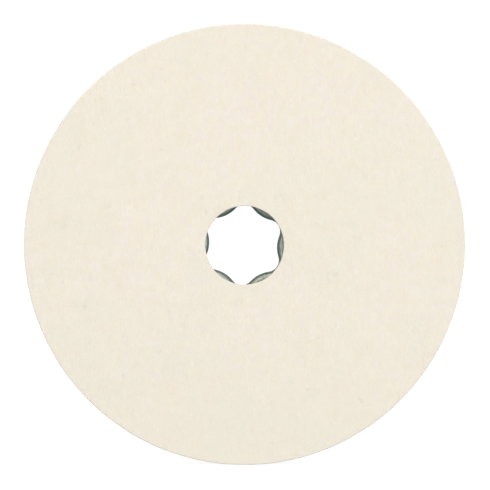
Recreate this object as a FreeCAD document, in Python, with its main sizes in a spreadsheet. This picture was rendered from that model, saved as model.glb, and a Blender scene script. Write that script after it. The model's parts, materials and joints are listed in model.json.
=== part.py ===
import FreeCAD, Part
import math
import os
import Sketcher
from FreeCAD import Rotation, Vector

# A felt polishing wheel with a quick-change mount, for an angle grinder's backing pad.
#
# Frame: +Y is the wheel's axis and points out of its rear, towards the grinder. The felt
# faces -Y and +Z is up. The origin is on the axis, in the plane where the rear face of the
# backing plate sits on the backing pad. Millimetres and degrees.
#
# From front to rear: felt pad, bond layer, clamp ring, backing plate, lobed sheet-steel
# mount. Six rivets join the clamp ring, the plate and the mount's flange.

# alias, value, what it is
DIMENSIONS = [
    ("felt_radius", 62.5, "outer radius of the felt"),
    ("felt_thickness", 10.0, "thickness of the felt"),
    ("felt_bore_radius", 11.25, "radius of the hole in the felt"),
    ("felt_edge_round", 0.3, "rounding of the felt's front edges"),
    ("recess_radius", 24.2, "radius of the felt's rear recess, which clears the riveted ring"),
    ("recess_depth", 1.9, "depth of that recess"),
    ("bond_thickness", 0.3, "thickness of the bond layer"),
    ("bond_inner_radius", 25.0, "inner radius of the bond layer"),
    ("bond_outer_radius", 60.7, "outer radius of the bond layer"),
    ("plate_radius", 61.5, "outer radius of the backing plate"),
    ("plate_thickness", 0.8, "thickness of the backing plate"),
    ("plate_bore_radius", 11.75, "radius of the hole in the backing plate"),
    ("ring_radius", 23.0, "outer radius of the clamp ring and of the mount's flange"),
    ("ring_bore_radius", 12.25, "radius of the hole in the clamp ring"),
    ("ring_thickness", 1.0, "thickness of the clamp ring"),
    ("sheet", 1.0, "thickness of the mount's sheet steel"),
    ("hat_radius", 16.3, "outer radius of the mount's drawn hat where it meets the flange"),
    ("hat_draft", 0.3, "how much narrower the hat is at its web"),
    ("hat_height", 2.2, "how far the hat stands behind the flange"),
    ("bend_inside", 0.4, "inside radius of the bends in the sheet"),
    ("bulge_radius", 9.0, "radius of the six bulges that point at the axis"),
    ("bulge_apex", 9.8, "distance of each bulge's apex from the axis"),
    ("lobe_radius", 3.35, "radius of the six lobes between the bulges"),
    ("lobe_tip", 11.62, "distance of each lobe's tip from the axis"),
    ("lobe_angle", 27.6, "angle of the first lobe from +X towards +Z"),
    ("collar_height", 1.5, "how far the opening's rolled rim stands behind the web"),
    ("rivet_circle", 19.9, "radius of the circle that the rivets are on"),
    ("rivet_shank_radius", 1.5, "radius of a rivet's shank"),
    ("rivet_clearance", 0.05, "room round a shank in its holes"),
    ("rivet_head_radius", 2.6, "radius of a rivet's rear head"),
    ("rivet_head_height", 1.0, "height of a rivet's rear head"),
    ("rivet_head_round", 0.7, "rounding of a rivet's rear head"),
    ("rivet_clinch_radius", 2.4, "radius of a rivet's clinched front end"),
    ("rivet_clinch_height", 0.6, "height of a rivet's clinched front end"),
    ("rivet_tube_radius", 0.9, "radius of the hollow in a rivet's front end"),
    ("rivet_tube_depth", 1.4, "depth of that hollow"),
    ("edge_break", 0.2, "rounding of cut steel and plate edges"),
]
LOBE_COUNT = 6
LOBE_STEP = 360 / LOBE_COUNT

# Places along Y, each as an expression of the driving dimensions.
PLATE_FRONT = "-Sizes.plate_thickness"
FELT_REAR = "-(Sizes.plate_thickness + Sizes.bond_thickness)"
FELT_FRONT = "-(Sizes.plate_thickness + Sizes.bond_thickness + Sizes.felt_thickness)"
RECESS_FLOOR = "-(Sizes.plate_thickness + Sizes.bond_thickness + Sizes.recess_depth)"
RING_FRONT = "-(Sizes.plate_thickness + Sizes.ring_thickness)"
CLINCH_FRONT = "-(Sizes.plate_thickness + Sizes.ring_thickness + Sizes.rivet_clinch_height)"
TUBE_FLOOR = CLINCH_FRONT + " + Sizes.rivet_tube_depth"
HEAD_REAR = "Sizes.sheet + Sizes.rivet_head_height"
WEB_FRONT = "Sizes.hat_height"
WEB_REAR = "Sizes.hat_height + Sizes.sheet"
COLLAR_LENGTH = "Sizes.sheet + Sizes.collar_height"

doc = FreeCAD.newDocument("felt_polishing_wheel")


def make_sheet():
    """The spreadsheet of driving dimensions: name, value and meaning in each row."""
    sheet = doc.addObject("Spreadsheet::Sheet", "Sizes")
    for row, (alias, size, meaning) in enumerate(DIMENSIONS, start=1):
        sheet.set("A%d" % row, alias)
        sheet.set("B%d" % row, str(size))
        sheet.setAlias("B%d" % row, alias)
        sheet.set("C%d" % row, meaning)
    doc.recompute()
    return sheet


def new_body(label):
    body = doc.addObject("PartDesign::Body", label)
    body.Label = label
    return body


def new_sketch(body, name, role):
    """A sketch on the body's own origin plane with this role."""
    plane = next(item for item in body.Origin.OriginFeatures if item.Role == role)
    sketch = body.newObject("Sketcher::SketchObject", name)
    sketch.AttachmentSupport = (plane, [""])
    sketch.MapMode = "FlatFace"
    return sketch


def pin_point(sketch, line, point, x, y):
    """Fix an end or centre of a line or arc at two expressions; a plain 0 is on the axis."""
    for kind, axis, expression in (("DistanceX", -2, x), ("DistanceY", -1, y)):
        if expression == "0":
            sketch.addConstraint(Sketcher.Constraint("PointOnObject", line, point, axis))
            continue
        size = sketch.evalExpression(expression)
        place = sketch.addConstraint(Sketcher.Constraint(kind, -1, 1, line, point, size))
        sketch.setExpression("Constraints[%d]" % place, expression)


def set_radius(sketch, arc, expression):
    """Bind the radius of an arc or circle to an expression."""
    size = sketch.evalExpression(expression)
    place = sketch.addConstraint(Sketcher.Constraint("Radius", arc, size))
    sketch.setExpression("Constraints[%d]" % place, expression)


def revolve(body, name, corners):
    """Turn a closed outline about Y; each corner is a radius and a place along Y."""
    sketch = new_sketch(body, name + "_outline", "XY_Plane")
    points = [Vector(sketch.evalExpression(r), sketch.evalExpression(y), 0) for r, y in corners]
    lines = [
        sketch.addGeometry(Part.LineSegment(start, end), False)
        for start, end in zip(points, points[1:] + points[:1])
    ]
    for index, line in enumerate(lines):
        sketch.addConstraint(Sketcher.Constraint("Coincident", lines[index - 1], 2, line, 1))
    for line, (r, y) in zip(lines, corners):
        pin_point(sketch, line, 1, r, y)
    feature = body.newObject("PartDesign::Revolution", name)
    feature.Profile = sketch
    feature.ReferenceAxis = (sketch, ["V_Axis"])
    feature.Angle = 360
    doc.recompute()
    return feature


def circular_edge(feature, radius, y):
    """The name of the feature's circular edge about Y with this radius at this place."""
    radius = feature.evalExpression(radius)
    y = feature.evalExpression(y)
    for index, edge in enumerate(feature.Shape.Edges, start=1):
        curve = edge.Curve
        if not isinstance(curve, Part.Circle) or abs(curve.Radius - radius) > 1e-4:
            continue
        centre = curve.Center
        if Vector(centre.x, centre.y - y, centre.z).Length < 1e-4:
            return "Edge%d" % index
    raise ValueError("no edge of radius %.3f at y = %.3f on %s" % (radius, y, feature.Name))


def round_edges(body, base, name, edges, radius):
    """Round the named edges of the base feature to an expression's radius."""
    fillet = body.newObject("PartDesign::Fillet", name)
    fillet.Base = (base, edges)
    fillet.setExpression("Radius", radius)
    doc.recompute()
    return fillet


def round_circles(body, base, name, circles, radius):
    """Round circular edges, each given by its radius and place along Y."""
    edges = [circular_edge(base, r, y) for r, y in circles]
    return round_edges(body, base, name, edges, radius)


def cut_through(body, name, draw):
    """Pocket a sketch drawn by draw(sketch) through the whole body, along Y both ways."""
    before = body.Shape.Volume
    sketch = new_sketch(body, name + "_outline", "XZ_Plane")
    draw(sketch)
    pocket = body.newObject("PartDesign::Pocket", name)
    pocket.Profile = sketch
    pocket.Type = "ThroughAll"
    pocket.SideType = "Symmetric"
    doc.recompute()
    if body.Shape.Volume >= before:
        raise ValueError(name + " cuts nothing")
    return pocket


def draw_rivet_hole(sketch):
    """One rivet's hole, on the X axis of the body."""
    radius = "Sizes.rivet_shank_radius + Sizes.rivet_clearance"
    centre = Vector(sketch.evalExpression("Sizes.rivet_circle"), 0, 0)
    circle = Part.Circle(centre, Vector(0, 0, 1), sketch.evalExpression(radius))
    hole = sketch.addGeometry(circle, False)
    pin_point(sketch, hole, 3, "Sizes.rivet_circle", "0")
    set_radius(sketch, hole, radius)


def add_rivet_holes(body):
    """Six holes on the rivet circle, in line with the lobes of the mount."""
    pocket = cut_through(body, "rivet_hole", draw_rivet_hole)
    axis = next(item for item in body.Origin.OriginFeatures if item.Role == "Y_Axis")
    pattern = body.newObject("PartDesign::PolarPattern", "rivet_holes")
    pattern.Originals = [pocket]
    pattern.Axis = (axis, [""])
    pattern.Angle = 360
    pattern.Occurrences = LOBE_COUNT
    body.Tip = pattern
    doc.recompute()
    return pattern


def turn_to_lobes(body):
    """Turn a body about the axis, from +X towards +Z, until its X axis is on a lobe."""
    body.Placement.Rotation = Rotation(Vector(0, -1, 0), 1)
    body.setExpression("Placement.Rotation.Angle", "Sizes.lobe_angle")


def polar(distance, angle):
    """Expressions for a point of the XZ plane, from its distance to the axis and its angle."""
    return "(%s) * cos(%s)" % (distance, angle), "(%s) * sin(%s)" % (distance, angle)


def draw_arc(sketch, centre, size, start_facing, end_facing):
    """An arc about centre, anticlockwise from facing one point to facing the other."""
    middle, start, end = (
        Vector(*[sketch.evalExpression(expression) for expression in point])
        for point in (centre, start_facing, end_facing)
    )
    angles = [math.atan2((point - middle).y, (point - middle).x) for point in (start, end)]
    circle = Part.Circle(middle, Vector(0, 0, 1), sketch.evalExpression(size))
    return sketch.addGeometry(Part.ArcOfCircle(circle, *angles), False)


def draw_lobed_outline(sketch, grow):
    """Six bulges and six lobes as tangent arcs, all moved outwards by the expression grow."""
    bulge_size = "Sizes.bulge_radius - " + grow
    lobe_size = "Sizes.lobe_radius + " + grow
    turns = [index * LOBE_STEP for index in range(LOBE_COUNT + 1)]
    lobe_at = [polar("Sizes.lobe_tip - Sizes.lobe_radius", turn) for turn in turns]
    bulge_at = [
        polar("Sizes.bulge_apex + Sizes.bulge_radius", turn + LOBE_STEP / 2) for turn in turns[:-1]
    ]
    bulges = []
    lobes = []
    for index, bulge in enumerate(bulge_at):
        lobe, next_lobe = lobe_at[index:index + 2]
        lobes.append(draw_arc(sketch, lobe, lobe_size, bulge_at[index - 1], bulge))
        bulges.append(draw_arc(sketch, bulge, bulge_size, next_lobe, lobe))
        pin_point(sketch, bulges[-1], 3, *bulge)
    for arc, size in [(arc, bulge_size) for arc in bulges] + [(arc, lobe_size) for arc in lobes]:
        set_radius(sketch, arc, size)
    for index in range(LOBE_COUNT):
        sketch.addConstraint(Sketcher.Constraint("Tangent", lobes[index], 2, bulges[index], 2))
        sketch.addConstraint(Sketcher.Constraint("Tangent", bulges[index - 1], 1, lobes[index], 1))


def lobed_edges(feature, y, reach):
    """Names of the edges of the lobed opening that lie in one plane across Y."""
    y = feature.evalExpression(y)
    reach = feature.evalExpression(reach)
    names = []
    for index, edge in enumerate(feature.Shape.Edges, start=1):
        box = edge.BoundBox
        flat = abs(box.YMin - y) < 1e-4 and abs(box.YMax - y) < 1e-4
        middle = edge.valueAt((edge.FirstParameter + edge.LastParameter) / 2)
        if flat and Vector(middle.x, 0, middle.z).Length < reach:
            names.append("Edge%d" % index)
    return names


def make_felt_pad():
    """The pressed felt: a thick disc with a bore and a shallow recess at the rear."""
    body = new_body("felt_pad")
    disc = revolve(body, "disc", [
        ("Sizes.felt_bore_radius", FELT_FRONT),
        ("Sizes.felt_radius", FELT_FRONT),
        ("Sizes.felt_radius", FELT_REAR),
        ("Sizes.recess_radius", FELT_REAR),
        ("Sizes.recess_radius", RECESS_FLOOR),
        ("Sizes.felt_bore_radius", RECESS_FLOOR),
    ])
    round_circles(body, disc, "edges", [
        ("Sizes.felt_bore_radius", FELT_FRONT),
        ("Sizes.felt_radius", FELT_FRONT),
    ], "Sizes.felt_edge_round")
    return body


def make_felt_adhesive():
    """The bond layer between felt and backing plate, outside the riveted ring."""
    body = new_body("felt_adhesive")
    revolve(body, "layer", [
        ("Sizes.bond_inner_radius", PLATE_FRONT),
        ("Sizes.bond_outer_radius", PLATE_FRONT),
        ("Sizes.bond_outer_radius", FELT_REAR),
        ("Sizes.bond_inner_radius", FELT_REAR),
    ])
    return body


def make_backing_plate():
    """The vulcanised-fibre disc that carries the felt."""
    body = new_body("backing_plate")
    disc = revolve(body, "disc", [
        ("Sizes.plate_bore_radius", PLATE_FRONT),
        ("Sizes.plate_radius", PLATE_FRONT),
        ("Sizes.plate_radius", "0"),
        ("Sizes.plate_bore_radius", "0"),
    ])
    round_circles(body, disc, "edges", [
        ("Sizes.plate_radius", PLATE_FRONT),
        ("Sizes.plate_radius", "0"),
    ], "Sizes.edge_break")
    add_rivet_holes(body)
    turn_to_lobes(body)
    return body


def make_clamp_ring():
    """The steel ring under the rivets' clinched ends, on the felt side of the plate."""
    body = new_body("clamp_ring")
    ring = revolve(body, "ring", [
        ("Sizes.ring_bore_radius", RING_FRONT),
        ("Sizes.ring_radius", RING_FRONT),
        ("Sizes.ring_radius", PLATE_FRONT),
        ("Sizes.ring_bore_radius", PLATE_FRONT),
    ])
    round_circles(body, ring, "edges", [
        ("Sizes.ring_bore_radius", RING_FRONT),
        ("Sizes.ring_radius", RING_FRONT),
    ], "Sizes.edge_break")
    add_rivet_holes(body)
    turn_to_lobes(body)
    return body


def make_lobed_mount():
    """The drawn steel mount: flange, hat, and a web whose lobed opening has a rolled rim."""
    body = new_body("lobed_mount")
    inner_top = "Sizes.hat_radius - Sizes.hat_draft - Sizes.sheet"
    outer_top = "Sizes.hat_radius - Sizes.hat_draft"
    inner_foot = "Sizes.hat_radius - Sizes.sheet"
    hat = revolve(body, "hat", [
        ("0", WEB_FRONT),
        (inner_top, WEB_FRONT),
        (inner_foot, "0"),
        ("Sizes.ring_radius", "0"),
        ("Sizes.ring_radius", "Sizes.sheet"),
        ("Sizes.hat_radius", "Sizes.sheet"),
        (outer_top, WEB_REAR),
        ("0", WEB_REAR),
    ])
    inside = round_circles(body, hat, "inside_bends", [
        (inner_top, WEB_FRONT),
        ("Sizes.hat_radius", "Sizes.sheet"),
    ], "Sizes.bend_inside")
    outside = round_circles(body, inside, "outside_bends", [
        (inner_foot, "0"),
        (outer_top, WEB_REAR),
    ], "Sizes.bend_inside + Sizes.sheet")
    round_circles(body, outside, "flange_edge", [
        ("Sizes.ring_radius", "0"),
        ("Sizes.ring_radius", "Sizes.sheet"),
    ], "Sizes.edge_break")

    before = body.Shape.Volume
    wall = new_sketch(body, "collar_outline", "XZ_Plane")
    wall.setExpression("AttachmentOffset.Base.z", "-(%s)" % WEB_FRONT)
    draw_lobed_outline(wall, "Sizes.sheet")
    collar = body.newObject("PartDesign::Pad", "collar")
    collar.Profile = wall
    collar.setExpression("Length", COLLAR_LENGTH)
    collar.Reversed = True
    doc.recompute()
    if body.Shape.Volume <= before:
        raise ValueError("the collar adds nothing")
    opening = cut_through(body, "opening", lambda sketch: draw_lobed_outline(sketch, "0"))
    reach = "Sizes.lobe_tip + 0.5 * Sizes.sheet"
    mouth = round_edges(body, opening, "rolled_rim", lobed_edges(opening, WEB_FRONT, reach),
                        "Sizes.sheet + Sizes.edge_break")
    rim_end = WEB_FRONT + " + " + COLLAR_LENGTH
    lip = round_edges(body, mouth, "rim_edge",
                      lobed_edges(mouth, rim_end, "Sizes.lobe_tip + 2 * Sizes.sheet"),
                      "Sizes.edge_break")
    round_edges(body, lip, "collar_foot",
                lobed_edges(lip, WEB_REAR, "Sizes.lobe_tip + 2 * Sizes.sheet"),
                "Sizes.edge_break")
    add_rivet_holes(body)
    turn_to_lobes(body)
    return body


def make_rivet(index):
    """A semi-tubular rivet, its head behind the flange and its clinched end in front."""
    body = new_body("rivet_%d" % (index + 1))
    shaft = revolve(body, "shaft", [
        ("0", HEAD_REAR),
        ("Sizes.rivet_head_radius", HEAD_REAR),
        ("Sizes.rivet_head_radius", "Sizes.sheet"),
        ("Sizes.rivet_shank_radius", "Sizes.sheet"),
        ("Sizes.rivet_shank_radius", RING_FRONT),
        ("Sizes.rivet_clinch_radius", RING_FRONT),
        ("Sizes.rivet_clinch_radius", CLINCH_FRONT),
        ("Sizes.rivet_tube_radius", CLINCH_FRONT),
        ("Sizes.rivet_tube_radius", TUBE_FLOOR),
        ("0", TUBE_FLOOR),
    ])
    head = round_circles(body, shaft, "head_round", [
        ("Sizes.rivet_head_radius", HEAD_REAR),
    ], "Sizes.rivet_head_round")
    round_circles(body, head, "clinch_round", [
        ("Sizes.rivet_clinch_radius", CLINCH_FRONT),
        ("Sizes.rivet_tube_radius", CLINCH_FRONT),
    ], "Sizes.edge_break")
    x, z = polar("Sizes.rivet_circle", "Sizes.lobe_angle + %g" % (index * LOBE_STEP))
    body.setExpression("Placement.Base.x", x)
    body.setExpression("Placement.Base.z", z)
    return body


def check_document(pieces):
    """Stop if any feature failed or any piece isn't one valid solid."""
    for item in doc.Objects:
        if "Invalid" in item.State or "Error" in item.State:
            raise ValueError("%s failed: %s" % (item.Name, item.State))
    for piece in pieces:
        shape = piece.Shape
        if shape.isNull() or not shape.isValid() or len(shape.Solids) != 1:
            raise ValueError(piece.Label + " isn't one valid solid")


make_sheet()
pieces = [
    make_felt_pad(),
    make_felt_adhesive(),
    make_clamp_ring(),
    make_backing_plate(),
    make_lobed_mount(),
] + [make_rivet(index) for index in range(LOBE_COUNT)]
doc.recompute()
check_document(pieces)

os.makedirs("parts", exist_ok=True)
for piece in pieces:
    piece.Shape.exportStep("parts/%s.step" % piece.Label)
    print("%-14s %9.1f mm3" % (piece.Label, piece.Shape.Volume))
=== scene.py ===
"""Looks of a felt polishing wheel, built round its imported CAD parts.

Frame, in metres: the wheel stands on its rim with its axis along Y. The felt faces -Y,
the steel mount is at +Y, and +Z is up.
"""
import json
import math

import bmesh
import bpy
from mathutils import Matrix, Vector, noise


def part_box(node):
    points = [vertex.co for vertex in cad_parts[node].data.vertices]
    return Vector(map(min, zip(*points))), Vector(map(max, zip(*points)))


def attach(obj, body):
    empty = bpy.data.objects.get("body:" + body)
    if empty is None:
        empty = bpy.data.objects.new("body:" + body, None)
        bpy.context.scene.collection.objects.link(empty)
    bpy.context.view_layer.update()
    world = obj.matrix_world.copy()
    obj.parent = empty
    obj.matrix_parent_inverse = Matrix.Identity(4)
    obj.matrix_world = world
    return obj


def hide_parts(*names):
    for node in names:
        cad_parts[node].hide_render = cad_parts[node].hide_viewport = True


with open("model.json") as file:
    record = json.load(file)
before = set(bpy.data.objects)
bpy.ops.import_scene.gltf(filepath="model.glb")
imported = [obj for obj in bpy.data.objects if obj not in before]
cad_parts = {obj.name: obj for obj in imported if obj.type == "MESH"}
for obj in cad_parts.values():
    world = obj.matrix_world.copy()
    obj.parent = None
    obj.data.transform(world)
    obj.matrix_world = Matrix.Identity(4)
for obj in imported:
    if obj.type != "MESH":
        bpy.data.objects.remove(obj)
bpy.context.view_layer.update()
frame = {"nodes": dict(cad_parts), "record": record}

MM = 0.001

# ---------------------------------------------------------------- places from the frame
FELT_LOW, FELT_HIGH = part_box("felt_pad")
BOND_LOW, BOND_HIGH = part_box("felt_adhesive")
CLAMP_RING_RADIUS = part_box("clamp_ring")[1].x
MOUNTS = {mount["name"]: mount for mount in frame["record"]["mounts"]}

FELT_RADIUS = FELT_HIGH.x
FELT_FRONT = FELT_LOW.y
FELT_REAR = FELT_HIGH.y
BORE_RADIUS = MOUNTS["felt_bore"]["dims"]["r_mm"] * MM
BOND_RADIUS = BOND_HIGH.x

# The recess in the felt's rear clears the clamp ring, and the bond starts a little outside it.
RECESS_RADIUS = CLAMP_RING_RADIUS + 1.2 * MM
RECESS_DEPTH = 1.9 * MM
BOND_INNER_RADIUS = RECESS_RADIUS + 0.8 * MM

# The felt is glued on a little off the axis, by this much at its bore and at its rim. Its bore is
# slightly tight at the face and opens towards the rear.
BORE_SHIFT = Vector((0.21, 0, -0.085)) * MM
RIM_SHIFT = Vector((0.25, 0, 0.13)) * MM
BORE_TIGHTNESS = 0.11 * MM
BORE_FLARE = 0.14 * MM

# How far the squeezed-out bond stands past the CAD's bond layer.
BEAD_REACH = 0.7 * MM

# Points round the two turned meshes.
FELT_STEPS = 840
BOND_STEPS = 720

# ---------------------------------------------------------------- camera
CAMERA_AZIMUTH = math.radians(-0.9)
CAMERA_ELEVATION = math.radians(0.25)
CAMERA_AIM = Vector((0.31 * MM, FELT_FRONT, 0.0))
FRAME_WIDTH = 138.9 * MM
LENS = 200.0
SENSOR = 36.0

# ---------------------------------------------------------------- studio
FLOOR_Z = FELT_LOW.z + RIM_SHIFT.z
FLOOR_RADIUS = 4.8
DOME_RADIUS = 5.0
SKY_BELOW = (0.41, 0.46, 0.53)
SKY_ABOVE = (0.89, 0.915, 0.90)
SKY_BLEND_HEIGHT = 0.35
WHITE = (1.0, 1.0, 1.0)

# ---------------------------------------------------------------- colours, linear
WOOL = {
    "yellow": (0.824, 0.760, 0.484, 1),
    "lilac": (0.816, 0.731, 0.795, 1),
    "pink": (0.824, 0.741, 0.712, 1),
    "haze": (0.770, 0.738, 0.622, 1),
    # Painted shade for the lower part of the felt.
    "low": (0.735, 0.706, 0.575, 1),
    "lump": (0.767, 0.700, 0.600, 1),
    "warm": (0.824, 0.714, 0.590, 1),
    "smudge": (0.711, 0.685, 0.600, 1),
    "grain": (0.781, 0.707, 0.588, 1),
    "fleck": (0.780, 0.620, 0.430, 1),
    "seed": (0.412, 0.406, 0.350, 1),
    "pale_hair": (0.860, 0.810, 0.715, 1),
    "dark_hair": (0.640, 0.570, 0.450, 1),
    # Painted shade along the rounded edges.
    "rim": (0.793, 0.664, 0.500, 1),
    "tuft": (0.620, 0.520, 0.385, 1),
    "cut": (0.680, 0.583, 0.440, 1),
}
AMBER = {"dark": (0.36, 0.20, 0.075, 1), "clear": (0.52, 0.34, 0.15, 1)}
BOARD = {
    "deep": (0.128, 0.040, 0.026, 1),
    "light": (0.148, 0.050, 0.031, 1),
    "mottle": (0.105, 0.031, 0.021, 1),
    "fibre": (0.215, 0.088, 0.053, 1),
    "crossed": (0.200, 0.078, 0.046, 1),
    "speck": (0.045, 0.016, 0.012, 1),
    "cut_edge": (0.25, 0.125, 0.075, 1),
}
PLATING = {
    # Painted light: the lighter colour of the lower front-facing flats.
    "front_flat_painted_light": (0.68, 0.72, 0.60, 1),
    "rear": (0.56, 0.54, 0.50, 1),
    "rubbed": (0.60, 0.58, 0.54, 1),
    "scratch": (0.72, 0.71, 0.68, 1),
}
# The dark colours also give the bends their painted dark reflection.
MOUNT_PALE = (0.43, 0.49, 0.417, 1)
MOUNT_DARK = (0.178, 0.228, 0.224, 1)
RIVET_PALE = (0.57, 0.57, 0.54, 1)
RIVET_DARK = (0.26, 0.26, 0.25, 1)


# ---------------------------------------------------------------- mesh tools
def rounded_outline(corners):
    """Points round a closed outline of (radius, y, rounding, spacing) corners, arcs included.

    The spacing is that of the points on the straight run from this corner to the next. Each run
    has a point close to either end, which keeps the flats flat beside the rounded edges.
    """
    arc_steps = 4
    end_gap = 0.12 * MM
    arcs = []
    for index, (r, y, rounding, _) in enumerate(corners):
        here = Vector((r, y))
        before = Vector(corners[index - 1][:2]) - here
        after = Vector(corners[(index + 1) % len(corners)][:2]) - here
        start = here + before.normalized() * rounding
        end = here + after.normalized() * rounding
        arc = []
        for step in range(arc_steps + 1):
            share = step / arc_steps
            arc.append(start.lerp(here, share).lerp(here.lerp(end, share), share))
        arcs.append(arc)
    points = []
    for index, arc in enumerate(arcs):
        end = arcs[(index + 1) % len(arcs)][0]
        run = end - arc[-1]
        beside = run.normalized() * min(end_gap, run.length / 3)
        pieces = max(1, round((run.length - 2 * beside.length) / corners[index][3]))
        first = arc[-1] + beside
        last = end - beside
        points += arc
        points += [first.lerp(last, step / pieces) for step in range(pieces + 1)]
    return points


def turned_mesh(name, outline, steps, move):
    """A closed mesh: the outline turned about Y, with every point moved by move(point, out)."""
    count = len(outline)
    outs = []
    for index in range(count):
        along = outline[(index + 1) % count] - outline[index - 1]
        outs.append(Vector((along.y, -along.x)).normalized())
    points = []
    for (r, y), out in zip(outline, outs):
        for step in range(steps):
            angle = math.tau * step / steps
            radial = Vector((math.cos(angle), 0, math.sin(angle)))
            point = radial * r + Vector((0, y, 0))
            normal = radial * out.x + Vector((0, out.y, 0))
            points.append(move(point, normal))
    faces = []
    for ring in range(count):
        after = (ring + 1) % count
        for step in range(steps):
            turn = (step + 1) % steps
            faces.append((ring * steps + step, ring * steps + turn,
                          after * steps + turn, after * steps + step))
    mesh = bpy.data.meshes.new(name)
    mesh.from_pydata(points, [], faces)
    work = bmesh.new()
    work.from_mesh(mesh)
    bmesh.ops.recalc_face_normals(work, faces=work.faces)
    work.to_mesh(mesh)
    work.free()
    mesh.polygons.foreach_set("use_smooth", [True] * len(mesh.polygons))
    piece = bpy.data.objects.new(name, mesh)
    bpy.context.scene.collection.objects.link(piece)
    return piece


def finish_piece(piece, material, slot, *nodes):
    """Give a new piece its material and its body, and hide the CAD nodes it stands for. The slot
    is not used.
    """
    piece.data.materials.append(material)
    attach(piece, "root")
    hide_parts(*nodes)
    return piece


# ---------------------------------------------------------------- material tools
class Surface:
    """A material's node tree, with short calls for what the recipes below repeat.

    A value given to a call is either a plain value or another node's output. Sizes are in
    millimetres along X, Y and Z.
    """

    def __init__(self, name):
        self.material = bpy.data.materials.new(name)
        self.material.use_nodes = True
        self.tree = self.material.node_tree
        self.shader = self.tree.nodes["Principled BSDF"]
        self.place = self.node("ShaderNodeTexCoord").outputs["Object"]
        self.normal = self.node("ShaderNodeNewGeometry").outputs["Normal"]

    def node(self, kind, inputs=None, **settings):
        """A new node with these inputs and settings."""
        made = self.tree.nodes.new(kind)
        for key, value in settings.items():
            setattr(made, key, value)
        for key, value in (inputs or {}).items():
            self.put(made.inputs[key], value)
        return made

    def put(self, socket, value):
        """Link another node's output to a socket, or set the socket to a plain value."""
        if isinstance(value, bpy.types.NodeSocket):
            self.tree.links.new(value, socket)
        else:
            socket.default_value = value

    def math(self, operation, first, second=0.0):
        """The result of one operation on numbers."""
        return self.node("ShaderNodeMath", {0: first, 1: second}, operation=operation).outputs[0]

    def times(self, first, second):
        return self.math("MULTIPLY", first, second)

    def plus(self, first, second):
        return self.math("ADD", first, second)

    def vector(self, operation, *values, output=0):
        """The result of one operation on vectors."""
        made = self.node("ShaderNodeVectorMath", dict(enumerate(values)), operation=operation)
        return made.outputs[output]

    def part(self, vector, axis):
        """One axis's share of a vector."""
        return self.node("ShaderNodeSeparateXYZ", {0: vector}).outputs[axis]

    def stretch(self, size, place=None):
        """Object coordinates divided by a size."""
        return self.vector("MULTIPLY", place or self.place, [1 / (side * MM) for side in size])

    def warp(self, size, reach):
        """Object coordinates pushed about by soft noise of this size, by reach millimetres."""
        field = self.node("ShaderNodeTexNoise", {
            "Vector": self.stretch((size,) * 3), "Scale": 1.0,
        })
        centred = self.vector("SUBTRACT", field.outputs["Color"], (0.5,) * 3)
        return self.vector("MULTIPLY_ADD", centred, (2 * reach * MM,) * 3, self.place)

    def noise(self, size, detail=2.0, roughness=0.5, place=None):
        """Noise from 0 to 1 with features of this size."""
        made = self.node("ShaderNodeTexNoise", {
            "Vector": self.stretch(size, place), "Scale": 1.0,
            "Detail": detail, "Roughness": roughness,
        })
        return made.outputs["Fac"]

    def between(self, value, low, high, start=0.0, end=1.0):
        """Map value from low..high to start..end, smoothly and without overshoot."""
        made = self.node("ShaderNodeMapRange", {
            "Value": value, "From Min": low, "From Max": high, "To Min": start, "To Max": end,
        }, interpolation_type="SMOOTHSTEP")
        return made.outputs["Result"]

    def mix(self, share, first, second):
        """A colour that goes from first to second as share goes from 0 to 1."""
        made = self.node("ShaderNodeMix", data_type="RGBA")
        for socket, value in zip((made.inputs["Factor"], made.inputs[6], made.inputs[7]),
                                 (share, first, second)):
            self.put(socket, value)
        return made.outputs[2]

    def specks(self, size, reach, rarity):
        """Soft round specks in cells of this size. Reach is a speck's radius, and rarity the
        share of the cells that have none.
        """
        cells = self.node("ShaderNodeTexVoronoi", {
            "Vector": self.stretch((size,) * 3), "Scale": 1.0, "Randomness": 1.0,
        })
        near = self.between(cells.outputs["Distance"], reach / size, 0.2 * reach / size)
        chosen = self.node("ShaderNodeSeparateColor", {0: cells.outputs["Color"]}).outputs[0]
        return self.times(near, self.between(chosen, rarity, rarity + 0.02))

    def hairs(self, size, width, place):
        """Thin curved lines: where soft noise of this size crosses its middle level."""
        level = self.noise(size, detail=1.0, place=place)
        off = self.math("ABSOLUTE", self.math("SUBTRACT", level, 0.5))
        return self.between(off, width, 0.0)

    def bump(self, height, depth, normal=None):
        """A normal from a 0 to 1 height and its depth in millimetres, on top of another normal."""
        inputs = {"Height": height, "Distance": depth * MM, "Strength": 1.0}
        if normal is not None:
            inputs["Normal"] = normal
        return self.node("ShaderNodeBump", inputs).outputs["Normal"]

    def set(self, **values):
        """Set the shader's inputs, named with _ for a space, and return the material."""
        for key, value in values.items():
            self.put(self.shader.inputs[key.replace("_", " ")], value)
        return self.material


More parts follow.
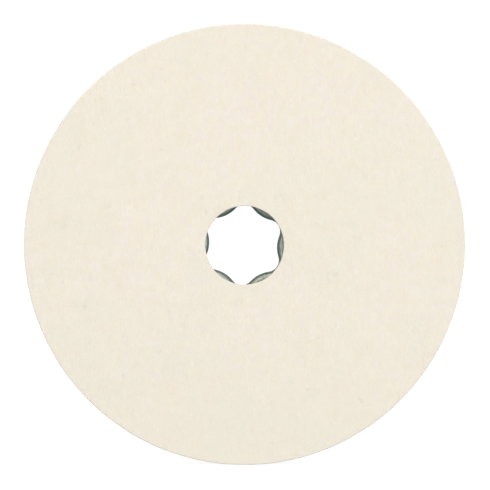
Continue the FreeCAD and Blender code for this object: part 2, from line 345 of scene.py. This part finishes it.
# ---------------------------------------------------------------- felt
def wool_clouds(felt, warped):
    """The wool's soft changes of colour and the smudges among them, with painted shade towards the
    bottom.
    """
    tint = felt.noise((1.5, 1.5, 2.2), detail=4.0, roughness=0.8)
    colour = felt.mix(felt.between(tint, 0.25, 0.75), WOOL["yellow"], WOOL["lilac"])
    drift = felt.noise((5.5, 5.5, 7.0), detail=2.0, roughness=0.6)
    colour = felt.mix(felt.between(drift, 0.3, 0.7, 0.0, 0.45), colour, WOOL["pink"])
    haze = felt.noise((22.0, 22.0, 30.0), detail=3.0, roughness=0.6)
    colour = felt.mix(felt.between(haze, 0.35, 0.65, 0.0, 0.9), colour, WOOL["haze"])
    # Painted shade: the lower part of the felt is tinted darker and greener.
    low = felt.between(felt.part(felt.place, "Z"), -12 * MM, -60 * MM, 0.0, 0.5)
    colour = felt.mix(low, colour, WOOL["low"])
    lumps = felt.noise((1.8, 1.8, 3.0), detail=3.0, roughness=0.7, place=warped)
    colour = felt.mix(felt.between(lumps, 0.25, 0.75, 0.0, 0.9), colour, WOOL["lump"])
    blotch = felt.noise((1.9, 1.9, 2.6), detail=4.0, roughness=0.8, place=warped)
    where = felt.noise((14.0, 14.0, 14.0), detail=1.0)
    warm = felt.plus(blotch, felt.times(where, 0.3))
    colour = felt.mix(felt.between(warm, 0.55, 1.0, 0.0, 0.9), colour, WOOL["warm"])
    smudge = felt.noise((6.0, 6.0, 7.0), detail=4.0, roughness=0.75, place=warped)
    colour = felt.mix(felt.between(smudge, 0.56, 0.82, 0.0, 1.0), colour, WOOL["smudge"])
    return colour, smudge


def wool_flecks(felt, colour, smudge, ragged):
    """Warm flecks in loose clusters, and rarer dark seeds where the wool is smudged."""
    knots = felt.noise((10.0, 10.0, 12.0), detail=2.0, roughness=0.6)
    thick = felt.noise((1.3, 1.3, 1.9), detail=3.0, roughness=0.6, place=ragged)
    fleck = felt.plus(thick, felt.times(knots, 0.35))
    colour = felt.mix(felt.between(fleck, 0.69, 0.92, 0.0, 0.20), colour, WOOL["fleck"])
    seeds = felt.noise((2.6, 2.6, 3.6), detail=2.0, roughness=0.5, place=ragged)
    dark = felt.plus(seeds, felt.times(smudge, 0.5))
    return felt.mix(felt.between(dark, 0.94, 1.12, 0.0, 0.26), colour, WOOL["seed"])


def felt_material():
    """Pressed wool felt: cream and matt, combed upright on its faces and lumpy on its cut side."""
    felt = Surface("wool_felt")
    across = felt.math("ABSOLUTE", felt.part(felt.normal, "Y"))
    on_face = felt.between(across, 0.5, 0.9)
    cut_side = felt.between(across, 0.8, 0.3)
    warped = felt.warp(9.0, 1.6)
    ragged = felt.warp(0.7, 0.6)

    colour, smudge = wool_clouds(felt, warped)
    grain = felt.noise((0.55, 0.8, 2.8), detail=3.0, roughness=0.7, place=warped)
    combed = felt.times(felt.between(grain, 0.36, 0.70, 0.0, 0.85),
                        felt.between(across, 0.5, 0.9, 0.3, 1.0))
    colour = felt.mix(combed, colour, WOOL["grain"])
    colour = wool_flecks(felt, colour, smudge, ragged)

    pale_where = felt.between(felt.noise((2.1, 2.1, 2.1), detail=1.0), 0.42, 0.60)
    dark_where = felt.between(felt.noise((3.3, 3.3, 3.3), detail=1.0), 0.45, 0.62)
    pale_hairs = felt.times(felt.hairs((1.2, 1.2, 2.6), 0.034, ragged), pale_where)
    dark_hairs = felt.times(felt.hairs((1.4, 1.4, 3.2), 0.022, warped), dark_where)
    colour = felt.mix(felt.times(pale_hairs, 0.40), colour, WOOL["pale_hair"])
    colour = felt.mix(felt.times(dark_hairs, 0.13), colour, WOOL["dark_hair"])

    # Painted shade: a darker, warmer tint along the rounded edges of the felt.
    rim = felt.between(across, 0.99, 0.85)
    colour = felt.mix(felt.times(rim, 0.08), colour, WOOL["rim"])
    layers = felt.noise((2.6, 0.28, 2.6), detail=4.0, roughness=0.7)
    tufts = felt.noise((1.7, 1.1, 1.7), detail=3.0, roughness=0.7)
    shaded = felt.times(felt.between(tufts, 0.40, 0.66, 0.0, 0.55), cut_side)
    colour = felt.mix(shaded, colour, WOOL["tuft"])
    pale = felt.times(felt.between(layers, 0.4, 0.7, 0.0, 0.75), cut_side)
    colour = felt.mix(pale, colour, WOOL["cut"])

    soft = felt.noise((3.0, 3.0, 5.0), detail=2.0)
    matted = felt.noise((0.35, 0.35, 0.8), detail=4.0, roughness=0.7, place=warped)
    strands = felt.noise((0.22, 0.22, 1.8), detail=2.0, roughness=0.6, place=warped)
    relief = felt.bump(matted, 0.06, felt.bump(soft, 0.12))
    relief = felt.bump(felt.times(strands, on_face), 0.06, relief)
    relief = felt.bump(felt.plus(pale_hairs, dark_hairs), 0.02, relief)
    torn = felt.noise((0.5, 0.35, 0.5), detail=3.0, roughness=0.7)
    relief = felt.bump(felt.times(tufts, cut_side), 0.8, relief)
    relief = felt.bump(felt.times(felt.plus(layers, torn), cut_side), 0.3, relief)
    return felt.set(Base_Color=colour, Roughness=0.95, Normal=relief, Sheen_Weight=0.08,
                    Sheen_Roughness=0.5, Specular_IOR_Level=0.1)


# ---------------------------------------------------------------- bond and backing
def bond_material():
    """Dried contact adhesive: amber, glossy, a little cloudy."""
    bond = Surface("bond")
    cloudy = bond.noise((2.5, 1.0, 2.5), detail=3.0)
    colour = bond.mix(bond.between(cloudy, 0.3, 0.7), AMBER["dark"], AMBER["clear"])
    uneven = bond.noise((0.8, 0.5, 0.8), detail=2.0)
    return bond.set(Base_Color=colour, Roughness=0.35, Normal=bond.bump(uneven, 0.12))


def fibre_material():
    """Vulcanised fibre: hard red-brown board with pressed paper fibres and a dull shine."""
    board = Surface("vulcanised_fibre")
    across = board.math("ABSOLUTE", board.part(board.normal, "Y"))
    cut_edge = board.between(across, 0.9, 0.5)
    cloud = board.noise((16.0, 16.0, 16.0), detail=3.0, roughness=0.55)
    mottle = board.noise((1.6, 1.6, 1.3), detail=4.0, roughness=0.7)
    fibres = board.noise((2.2, 0.5, 0.16), detail=3.0, roughness=0.65, place=board.warp(4.0, 2.4))
    crossed = board.noise((0.16, 0.5, 2.2), detail=3.0, roughness=0.65, place=board.warp(5.0, 2.8))
    calender = board.noise((60.0, 3.0, 0.5), detail=3.0, roughness=0.7)
    colour = board.mix(board.between(cloud, 0.3, 0.7), BOARD["deep"], BOARD["light"])
    colour = board.mix(board.between(mottle, 0.35, 0.7, 0.0, 0.55), colour, BOARD["mottle"])
    colour = board.mix(board.between(fibres, 0.56, 0.74, 0.0, 0.45), colour, BOARD["fibre"])
    colour = board.mix(board.between(crossed, 0.58, 0.76, 0.0, 0.40), colour, BOARD["crossed"])
    colour = board.mix(board.times(board.specks(3.4, 0.35, 0.7), 0.6), colour, BOARD["speck"])
    colour = board.mix(board.times(cut_edge, 0.6), colour, BOARD["cut_edge"])
    gloss = board.between(board.plus(mottle, board.times(calender, 0.6)), 0.5, 1.1, 0.33, 0.47)
    relief = board.bump(calender, 0.02, board.bump(cloud, 0.10))
    relief = board.bump(board.plus(fibres, crossed), 0.018, relief)
    return board.set(Base_Color=colour, Roughness=gloss, Normal=relief)


# ---------------------------------------------------------------- steel
def plated_material(name, pale, dark, roughness):
    """Zinc-plated pressed steel: mottled, with a painted dark reflection on its bends and painted
    light on its lower front flats, rubbed and scratched behind.
    """
    steel = Surface(name)
    facing_y = steel.part(steel.normal, "Y")
    from_axis = steel.vector("MULTIPLY", steel.place, (1.0, 0.0, 1.0))
    radius = steel.vector("LENGTH", from_axis, output="Value")
    outwards = steel.vector("NORMALIZE", from_axis)
    facing_out = steel.vector("DOT_PRODUCT", outwards, steel.normal, output="Value")

    cloud = steel.noise((3.0, 3.0, 3.0), detail=4.0, roughness=0.6)
    spangle = steel.noise((0.6, 0.6, 0.6), detail=3.0, roughness=0.65)
    drawn = steel.noise((0.25, 3.0, 0.25), detail=2.0)
    clouded = (*(0.8 * channel for channel in pale[:3]), 1)
    colour = steel.mix(steel.between(cloud, 0.3, 0.7), pale, clouded)
    colour = steel.mix(steel.between(spangle, 0.4, 0.75, 0.0, 0.3), colour, dark)
    # Painted reflection: the bends, which face towards or away from the axis, are darkened in
    # colour to stand for the dark surroundings they mirror.
    painted_dark_bend = steel.between(steel.math("ABSOLUTE", facing_out), 0.15, 0.75)
    colour = steel.mix(steel.times(painted_dark_bend, 0.75), colour, dark)
    # Painted light: the front-facing flats are lightened below the axis, as if lit through the
    # felt's bore; those above keep the darker plating.
    front_flat_painted_light = steel.between(facing_y, -0.955, -0.998)
    painted_light_low = steel.between(steel.part(steel.place, "Z"), 6 * MM, -1 * MM, 0.0, 0.42)
    colour = steel.mix(steel.times(front_flat_painted_light, painted_light_low), colour, PLATING["front_flat_painted_light"])

    rear = steel.between(facing_y, 0.6, 0.95)
    turn = steel.math("ARCTAN2", steel.part(steel.place, "Z"), steel.part(steel.place, "X"))
    ring_place = steel.node("ShaderNodeCombineXYZ", {
        "X": steel.times(radius, 1 / (0.14 * MM)), "Y": steel.times(turn, 1.6),
    }).outputs[0]
    rings = steel.node("ShaderNodeTexNoise", {
        "Vector": ring_place, "Scale": 1.0, "Detail": 3.0, "Roughness": 0.6,
    }).outputs["Fac"]
    worn = steel.noise((7.0, 7.0, 7.0), detail=4.0, roughness=0.65)
    rubbed = steel.times(steel.between(worn, 0.40, 0.62), rear)
    scratch = steel.times(steel.between(rings, 0.52, 0.66), rubbed)
    colour = steel.mix(steel.times(rear, 0.35), colour, PLATING["rear"])
    colour = steel.mix(steel.times(rubbed, 0.45), colour, PLATING["rubbed"])
    colour = steel.mix(steel.times(scratch, 0.55), colour, PLATING["scratch"])

    gloss = steel.between(spangle, 0.3, 0.7, roughness - 0.06, roughness + 0.1)
    gloss = steel.math("SUBTRACT", gloss, steel.times(rubbed, 0.16))
    relief = steel.bump(worn, 0.10, steel.bump(cloud, 0.03))
    relief = steel.bump(spangle, 0.02, steel.bump(drawn, 0.02, relief))
    relief = steel.bump(scratch, 0.012, relief)
    return steel.set(Base_Color=colour, Metallic=0.9, Roughness=gloss, Normal=relief)


# ---------------------------------------------------------------- pieces
def make_felt():
    """The felt disc: cut edges, gently uneven faces and a rim that isn't quite true."""
    recess_floor = FELT_REAR - RECESS_DEPTH
    bore = BORE_RADIUS - BORE_TIGHTNESS
    outline = rounded_outline([
        (bore, FELT_FRONT, 0.25 * MM, 0.7 * MM),
        (bore + BORE_FLARE, recess_floor, 0.2 * MM, 1.5 * MM),
        (RECESS_RADIUS, recess_floor, 0.15 * MM, 0.6 * MM),
        (RECESS_RADIUS, FELT_REAR, 0.2 * MM, 3.0 * MM),
        (FELT_RADIUS, FELT_REAR, 0.3 * MM, 0.7 * MM),
        (FELT_RADIUS, FELT_FRONT, 0.3 * MM, 2.2 * MM),
    ])

    def uneven(point, out):
        """Shift a point with the felt, swell it softly, and roughen it on the cut sides."""
        outwards = min(1.0, math.hypot(point.x, point.z) / FELT_RADIUS) ** 2
        point = point + BORE_SHIFT.lerp(RIM_SHIFT, outwards)
        on_cut = 1 - abs(out.y)
        swell = noise.noise(point / (12 * MM)) * 0.06
        lumps = noise.noise(point / (2.4 * MM)) * 0.04
        tufts = noise.noise(Vector((point.x / 1.1, point.y / 0.8, point.z / 1.4)) / MM) * 0.03
        return point + out * (swell + on_cut * (lumps + tufts)) * MM

    return turned_mesh("felt_pad_wool", outline, FELT_STEPS, uneven)


def make_bond():
    """The bond layer, with a wavy bead squeezed out round the backing plate's edge."""
    inner = BOND_INNER_RADIUS
    outer = BOND_RADIUS + BEAD_REACH
    outline = rounded_outline([
        (inner, BOND_LOW.y, 0.05 * MM, 1.0 * MM),
        (inner, BOND_HIGH.y, 0.05 * MM, 3.0 * MM),
        (BOND_RADIUS, BOND_HIGH.y, 0.02 * MM, 0.3 * MM),
        (outer, BOND_HIGH.y + 0.02 * MM, 0.1 * MM, 0.3 * MM),
        (outer, BOND_LOW.y, 0.1 * MM, 3.0 * MM),
    ])

    def squeezed(point, out):
        """Push the points near the outer edge in and out. The rest stay where they are."""
        radial = Vector((point.x, 0, point.z))
        if radial.length < BOND_RADIUS - 1 * MM:
            return point
        waves = noise.noise(radial / (6 * MM)) * 0.35
        ripples = noise.noise(radial / (1.7 * MM)) * 0.15
        return point + radial.normalized() * (waves + ripples) * MM

    return turned_mesh("bond_bead", outline, BOND_STEPS, squeezed)


felt_piece = finish_piece(make_felt(), felt_material(), "wool_felt", "felt_pad")
finish_piece(make_bond(), bond_material(), "bond", "felt_adhesive")

mount_surface = plated_material("zinc_steel", MOUNT_PALE, MOUNT_DARK, 0.48)
rivet_surface = plated_material("rivet_steel", RIVET_PALE, RIVET_DARK, 0.33)
cad_surfaces = {
    "backing_plate": fibre_material(),
    "clamp_ring": mount_surface,
    "lobed_mount": mount_surface,
}
for node_name, node in frame["nodes"].items():
    if node_name.startswith("rivet_"):
        node.material_slots[0].material = rivet_surface
    elif node_name in cad_surfaces:
        node.material_slots[0].material = cad_surfaces[node_name]


# ---------------------------------------------------------------- stage, light and camera
def make_stage(piece, name, albedo, emission):
    """A matt stage surface that shows as plain white and throws no light back at the wheel."""
    piece.name = name
    surface = Surface(name + "_white")
    piece.data.materials.append(surface.set(
        Base_Color=(albedo, albedo, albedo, 1), Roughness=1.0, Specular_IOR_Level=0.0,
        Emission_Color=(*WHITE, 1), Emission_Strength=emission,
    ))
    piece.visible_diffuse = False
    piece.visible_glossy = False
    piece.visible_transmission = False
    piece.visible_shadow = False


def make_floor():
    """A round white floor that still takes a trace of the wheel's shadow."""
    bpy.ops.mesh.primitive_circle_add(vertices=96, radius=FLOOR_RADIUS, fill_type="NGON",
                                      location=(0, 0, FLOOR_Z))
    make_stage(bpy.context.object, "floor", 0.18, 0.90)


def make_backdrop():
    """A white dome round everything."""
    bpy.ops.mesh.primitive_uv_sphere_add(segments=64, ring_count=32, radius=DOME_RADIUS)
    make_stage(bpy.context.object, "backdrop", 0.0, 1.05)


def make_sky():
    """Even studio light, dimmer below and brighter above.

    The two colours blend between the blend height below level and above it, as heights on a
    sphere of radius 1.
    """
    sky = bpy.data.worlds.new("studio")
    sky.use_nodes = True
    nodes = sky.node_tree.nodes
    links = sky.node_tree.links
    direction = nodes.new("ShaderNodeTexCoord")
    parts = nodes.new("ShaderNodeSeparateXYZ")
    height = nodes.new("ShaderNodeMapRange")
    height.interpolation_type = "SMOOTHSTEP"
    height.inputs["From Min"].default_value = -SKY_BLEND_HEIGHT
    height.inputs["From Max"].default_value = SKY_BLEND_HEIGHT
    blend = nodes.new("ShaderNodeMix")
    blend.data_type = "RGBA"
    blend.inputs[6].default_value = (*SKY_BELOW, 1)
    blend.inputs[7].default_value = (*SKY_ABOVE, 1)
    links.new(direction.outputs["Generated"], parts.inputs[0])
    links.new(parts.outputs["Z"], height.inputs["Value"])
    links.new(height.outputs["Result"], blend.inputs["Factor"])
    links.new(blend.outputs[2], nodes["Background"].inputs["Color"])
    bpy.context.scene.world = sky


def soft_light(name, place, size, power, colour=WHITE):
    """A square softbox of this side and power, in metres and watts, aimed at the wheel."""
    light = bpy.data.lights.new(name, "AREA")
    light.color = colour
    light.shape = "SQUARE"
    light.size = size
    light.energy = power
    box = bpy.data.objects.new(name, light)
    box.location = place
    box.rotation_euler = (-Vector(place)).to_track_quat("-Z", "Y").to_euler()
    bpy.context.scene.collection.objects.link(box)


def make_camera():
    """Nearly square on to the felt: a touch to the left of the axis, and above it."""
    away = FRAME_WIDTH * LENS / SENSOR
    level = math.cos(CAMERA_ELEVATION)
    back = Vector((level * math.sin(CAMERA_AZIMUTH), -level * math.cos(CAMERA_AZIMUTH),
                   math.sin(CAMERA_ELEVATION)))
    data = bpy.data.cameras.new("camera")
    data.lens = LENS
    data.sensor_width = SENSOR
    data.clip_start = 0.01
    data.clip_end = 20.0
    camera = bpy.data.objects.new("camera", data)
    camera.location = CAMERA_AIM + back * away
    camera.rotation_euler = (-back).to_track_quat("-Z", "Y").to_euler()
    bpy.context.scene.collection.objects.link(camera)
    bpy.context.scene.camera = camera


make_floor()
make_backdrop()
soft_light("key", place=(-0.12, -0.92, 0.7), size=1.0, power=4.4, colour=(1.0, 0.88, 0.80))
soft_light("front", place=(0.0, -1.35, 0.0), size=0.6, power=1.4)
soft_light("fill_right", place=(0.85, -1.05, 0.0), size=0.9, power=4.3, colour=(0.96, 0.99, 1.0))
soft_light("fill_left", place=(-0.85, -1.05, 0.0), size=0.9, power=1.5, colour=(0.80, 0.93, 1.0))
soft_light("rear", place=(0.25, 1.2, 0.55), size=0.6, power=2.5)
make_sky()
bpy.context.scene.view_settings.view_transform = "Standard"
make_camera()
